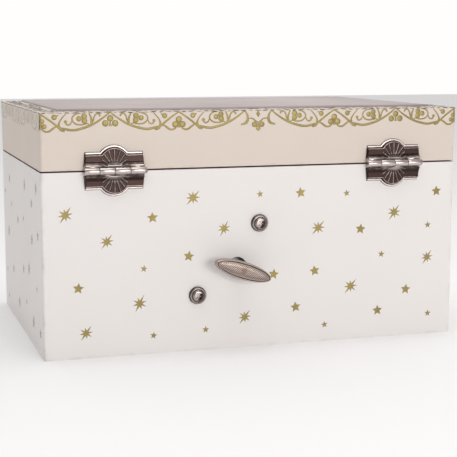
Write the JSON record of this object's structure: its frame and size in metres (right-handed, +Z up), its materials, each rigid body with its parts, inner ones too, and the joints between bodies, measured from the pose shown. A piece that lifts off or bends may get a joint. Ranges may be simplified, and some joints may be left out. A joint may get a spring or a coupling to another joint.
{
  "type": "ballerina jewellery box",
  "caption": "Rectangular musical jewellery box with a hinged lid, winding key at the back, velvet compartments, lid mirror and a dancer who stands up and turns as the lid opens.",
  "frame": {"origin": "middle of the box's underside", "axes": "+Z up, +Y to the back (hinges and key), +X to the left seen from the back"},
  "size_m": [0.19, 0.1386, 0.1058],
  "materials": {
    "body_board": "satin paper over fibreboard, cream white with gold foil stars",
    "lid_board": "satin paper over fibreboard, warm ivory with a gold foil border",
    "picture_paper": "dusky mauve paper panel",
    "velvet": "rose velvet flock on card",
    "satin": "pale rose satin over card",
    "foam": "velvet over soft foam",
    "mirror_glass": "silvered glass",
    "antique_nickel": "dark antique nickel plate",
    "bright_nickel": "satin nickel plate",
    "steel": "bright steel",
    "brass": "turned brass",
    "casting": "plated casting",
    "white_plastic": "moulded acetal",
    "figure_plastic": "painted moulded figure",
    "net": "pink net"
  },
  "bodies": {
    "box": {"front_wall": "body_board", "back_wall": "body_board", "left_wall": "body_board", "right_wall": "body_board", "base_board": "body_board", "floor_lining": "velvet", "wall_lining": "velvet", "long_partition": "velvet", "bay_left_partition": "velvet", "bay_right_partition": "velvet", "front_left_partition": "velvet", "front_right_partition": "velvet", "deck": "velvet", "ring_bed": "foam", "ring_rolls": "foam", "body_hinge_leaf_left": "antique_nickel", "body_hinge_leaf_right": "antique_nickel", "hinge_pins": "antique_nickel", "bedplate": "casting", "barrel_bridge": "steel", "comb": "steel", "bed_screws": "steel", "wrap_spring": "steel", "movement_screws": "bright_nickel", "cup_washers": "bright_nickel", "governor_frame": "brass", "gear_bracket": "steel", "spindle_bush": "white_plastic"},
    "lid": {"lid_top": "lid_board", "lid_front_wall": "lid_board", "lid_back_wall": "lid_board", "lid_left_wall": "lid_board", "lid_right_wall": "lid_board", "lid_picture": "picture_paper", "lid_lining": "satin", "mirror": "mirror_glass", "lid_hinge_leaf_left": "antique_nickel", "lid_hinge_leaf_right": "antique_nickel"},
    "key": {"winding_arbor": "steel", "winding_key": "bright_nickel"},
    "barrel": {"spring_barrel": "brass", "crown_wheel": "brass", "mainspring": "steel"},
    "cylinder": {"pinned_cylinder": "brass", "cylinder_pins": "steel", "cylinder_arbor": "steel", "cylinder_wheel": "brass"},
    "governor": {"governor_arbor": "steel", "governor_wheel": "brass"},
    "fan": {"governor_worm": "steel", "governor_fan": "brass"},
    "takeoff": {"takeoff_shaft": "steel", "takeoff_gear": "white_plastic"},
    "spindle": {"spindle": "steel", "spindle_gear": "white_plastic", "dancer_spring": "steel"},
    "dancer": {"dancer_socket": "steel", "dancer_figure": "figure_plastic", "dancer_skirt": "net"},
    "stop": {"stop_rod": "white_plastic"}
  },
  "joints": [
    {"name": "lid_hinge", "type": "hinge", "parent": "box", "child": "lid", "pos_m": [0, 0.066, 0.0802], "axis": [-1, 0, 0], "range_deg": [0, 100]},
    {"name": "key_wind", "type": "hinge", "parent": "box", "child": "key", "pos_m": [0.0096, 0.06, 0.036], "axis": [0, 1, 0], "continuous": true},
    {"name": "cylinder_spin", "type": "hinge", "parent": "box", "child": "cylinder", "pos_m": [-0.0164, 0.04225, 0.036], "axis": [1, 0, 0], "continuous": true},
    {"name": "barrel_spin", "type": "hinge", "parent": "box", "child": "barrel", "pos_m": [0.0096, 0.05, 0.036], "axis": [0, 1, 0], "continuous": true},
    {"name": "governor_spin", "type": "hinge", "parent": "box", "child": "governor", "pos_m": [-0.02, 0.04484, 0.0472], "axis": [1, 0, 0], "continuous": true},
    {"name": "fan_spin", "type": "hinge", "parent": "box", "child": "fan", "pos_m": [-0.018, 0.045, 0.0523], "axis": [0, 1, 0], "continuous": true},
    {"name": "takeoff_spin", "type": "hinge", "parent": "box", "child": "takeoff", "pos_m": [0.0096, 0.04225, 0.052], "axis": [0, 0, 1], "continuous": true},
    {"name": "spindle_spin", "type": "hinge", "parent": "box", "child": "spindle", "pos_m": [0, 0.02135, 0.06], "axis": [0, 0, 1], "continuous": true},
    {"name": "dancer_tilt", "type": "hinge", "parent": "spindle", "child": "dancer", "pos_m": [0, 0.02135, 0.068], "axis": [-1, 0, 0], "range_deg": [0, 56], "deforming": ["dancer_spring"]},
    {"name": "stop_lift", "type": "slide", "parent": "box", "child": "stop", "axis": [0, 0, 1], "range_m": [0, 0.004]}
  ],
  "couplings": [
    {"joint": "barrel_spin", "follows": "cylinder_spin", "ratio": 0.3},
    {"joint": "governor_spin", "follows": "cylinder_spin", "ratio": -3.6},
    {"joint": "fan_spin", "follows": "cylinder_spin", "ratio": -43.2},
    {"joint": "takeoff_spin", "follows": "cylinder_spin", "ratio": -1},
    {"joint": "spindle_spin", "follows": "cylinder_spin", "ratio": 0.64286},
    {"joint": "dancer_tilt", "follows": "lid_hinge", "ratio": 0.56},
    {"joint": "stop_lift", "follows": "lid_hinge", "m_per_rad": 0.00229}
  ]
}
